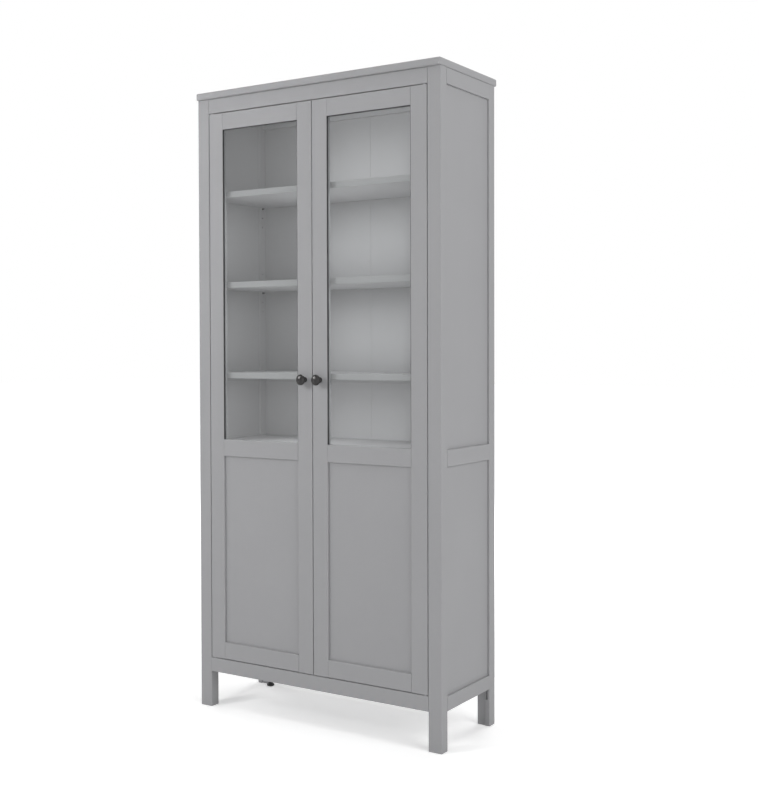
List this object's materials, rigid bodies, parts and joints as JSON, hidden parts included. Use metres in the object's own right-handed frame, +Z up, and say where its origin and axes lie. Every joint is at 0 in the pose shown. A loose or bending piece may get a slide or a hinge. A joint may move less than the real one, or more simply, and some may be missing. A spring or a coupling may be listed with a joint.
{
  "type": "display cabinet",
  "caption": "Tall painted display cabinet on legs, with inset frame doors that swing out, glazed above and panelled below, round knobs, and shelves inside.",
  "frame": {"origin": "on the floor, under the middle of the outer box, knobs included", "axes": "+Z up along the height, -Y out of the front, where the doors and knobs are, +X to the right as seen from the front"},
  "size_m": [0.9, 0.37, 1.97],
  "materials": {
    "grey_paint": "satin grey paint on wood",
    "back_board": "painted fibreboard",
    "clear_glass": "clear float glass",
    "dark_bronze": "dark bronze",
    "zinc_steel": "zinc plated",
    "black_plastic": "moulded black plastic"
  },
  "bodies": {
    "carcass": {"top_board": "grey_paint", "left_front_post": "grey_paint", "right_front_post": "grey_paint", "left_rear_stile": "grey_paint", "right_rear_stile": "grey_paint", "left_side_top_rail": "grey_paint", "right_side_top_rail": "grey_paint", "left_side_mid_rail": "grey_paint", "right_side_mid_rail": "grey_paint", "left_side_bottom_rail": "grey_paint", "right_side_bottom_rail": "grey_paint", "left_upper_side_panel": "grey_paint", "right_upper_side_panel": "grey_paint", "left_lower_side_panel": "grey_paint", "right_lower_side_panel": "grey_paint", "left_rear_leg_block": "grey_paint", "right_rear_leg_block": "grey_paint", "front_top_rail": "grey_paint", "front_bottom_rail": "grey_paint", "rear_top_rail": "grey_paint", "bottom_board": "grey_paint", "cupboard_top": "grey_paint", "fixed_shelf": "grey_paint", "middle_shelf": "grey_paint", "upper_shelf": "grey_paint", "cupboard_shelf": "grey_paint", "left_back_panel": "back_board", "right_back_panel": "back_board", "back_joint_strip": "back_board", "levelling_foot": "black_plastic", "magnetic_catch": "black_plastic", "left_door_top_pivot_pin": "zinc_steel", "left_door_bottom_pivot_pin": "zinc_steel", "right_door_top_pivot_pin": "zinc_steel", "right_door_bottom_pivot_pin": "zinc_steel"},
    "left_door": {"left_door_hinge_stile": "grey_paint", "left_door_meeting_stile": "grey_paint", "left_door_top_rail": "grey_paint", "left_door_mid_rail": "grey_paint", "left_door_bottom_rail": "grey_paint", "left_door_glass": "clear_glass", "left_door_panel": "grey_paint", "left_knob": "dark_bronze", "left_knob_screw": "zinc_steel", "left_door_top_pivot_bush": "black_plastic", "left_door_bottom_pivot_bush": "black_plastic", "left_strike_plate": "zinc_steel"},
    "right_door": {"right_door_hinge_stile": "grey_paint", "right_door_meeting_stile": "grey_paint", "right_door_top_rail": "grey_paint", "right_door_mid_rail": "grey_paint", "right_door_bottom_rail": "grey_paint", "right_door_glass": "clear_glass", "right_door_panel": "grey_paint", "right_knob": "dark_bronze", "right_knob_screw": "zinc_steel", "right_door_top_pivot_bush": "black_plastic", "right_door_bottom_pivot_bush": "black_plastic", "right_strike_plate": "zinc_steel"}
  },
  "joints": [
    {"name": "left_door_swing", "type": "hinge", "parent": "carcass", "child": "left_door", "pos_m": [-0.392, -0.14901, 1.0305], "axis": [0, 0, -1], "range_deg": [0, 110]},
    {"name": "right_door_swing", "type": "hinge", "parent": "carcass", "child": "right_door", "pos_m": [0.392, -0.14901, 1.0305], "axis": [0, 0, 1], "range_deg": [0, 110]}
  ]
}
